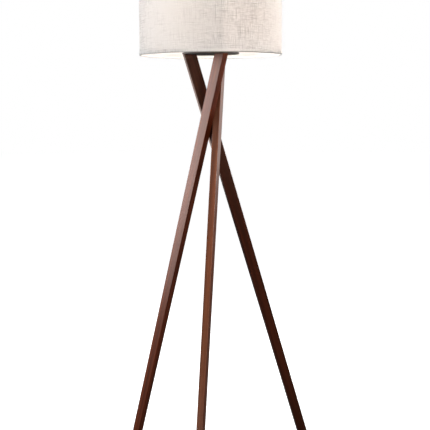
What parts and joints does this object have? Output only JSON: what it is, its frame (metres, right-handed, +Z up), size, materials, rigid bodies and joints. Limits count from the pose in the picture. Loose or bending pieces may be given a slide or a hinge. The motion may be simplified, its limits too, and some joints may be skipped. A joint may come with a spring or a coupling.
{
  "type": "tripod floor lamp",
  "caption": "Floor lamp on crossed walnut legs with a steel hub plate, harp and socket, and a white linen drum shade.",
  "frame": {"origin": "on the floor, under the centre of the lamp's box; the lamp's own axis stands at x = -0.0232, y = 0.0620", "axes": "+Z up; +X to the right and -Y towards a viewer who faces the lamp with one foot towards them"},
  "size_m": [0.6145, 0.5807, 1.6],
  "materials": {
    "walnut": "satin lacquer over straight-grained walnut",
    "rubber": "matt black",
    "bronze": "dark bronze powder coat",
    "steel": "zinc plated",
    "beech": "plain sanded dowel",
    "black_plastic": "fine satin",
    "brass": "satin brass plate",
    "card": "vulcanised card",
    "phenolic": "moulded phenolic",
    "frosted_glass": "soft white frosted glass",
    "linen": "white slubbed linen",
    "styrene": "smooth white styrene",
    "white_enamel": "white enamel"
  },
  "bodies": {
    "stand": {"leg_right": "walnut", "leg_left": "walnut", "leg_front": "walnut", "foot_pad_right": "rubber", "foot_pad_left": "rubber", "foot_pad_front": "rubber", "hub_plate": "bronze", "leg_screw_right_outer": "steel", "leg_screw_right_inner": "steel", "leg_screw_left_outer": "steel", "leg_screw_left_inner": "steel", "leg_screw_front_outer": "steel", "leg_screw_front_inner": "steel", "waist_block": "walnut", "waist_dowel_right": "beech", "waist_dowel_left": "beech", "waist_dowel_front": "beech", "cord_bushing": "black_plastic", "threaded_nipple": "steel", "nipple_lock_nut": "steel", "harp_saddle": "brass", "harp": "brass", "harp_stud": "brass", "socket_cap": "brass", "socket_shell": "brass", "socket_insulator": "card", "socket_core": "phenolic", "screw_shell": "brass", "centre_contact": "brass", "switch_collar": "steel"},
    "switch": {"switch_knob": "black_plastic"},
    "bulb": {"bulb_base": "steel", "bulb_globe": "frosted_glass"},
    "shade": {"shade_cover": "linen", "shade_liner": "styrene", "shade_bottom_ring": "white_enamel", "shade_top_ring": "white_enamel", "shade_spider": "white_enamel"},
    "finial": {"finial": "brass"},
    "sleeve_left": {"harp_sleeve_left": "brass"},
    "sleeve_right": {"harp_sleeve_right": "brass"}
  },
  "joints": [
    {"name": "shade_turn", "type": "hinge", "parent": "stand", "child": "shade", "pos_m": [-0.0232, 0.062, 1.5705], "axis": [0, 0, 1], "continuous": true},
    {"name": "finial_turn", "type": "hinge", "parent": "stand", "child": "finial", "pos_m": [-0.0232, 0.062, 1.58], "axis": [0, 0, 1], "continuous": true},
    {"name": "bulb_turn", "type": "hinge", "parent": "stand", "child": "bulb", "pos_m": [-0.0232, 0.062, 1.4], "axis": [0, 0, 1], "continuous": true},
    {"name": "switch_turn", "type": "hinge", "parent": "stand", "child": "switch", "pos_m": [-0.0232, 0.042, 1.3581], "axis": [0, -1, 0], "continuous": true},
    {"name": "sleeve_left_lift", "type": "slide", "parent": "stand", "child": "sleeve_left", "axis": [0, 0, 1], "range_m": [0, 0.012]},
    {"name": "sleeve_right_lift", "type": "slide", "parent": "stand", "child": "sleeve_right", "axis": [0, 0, 1], "range_m": [0, 0.012]}
  ]
}
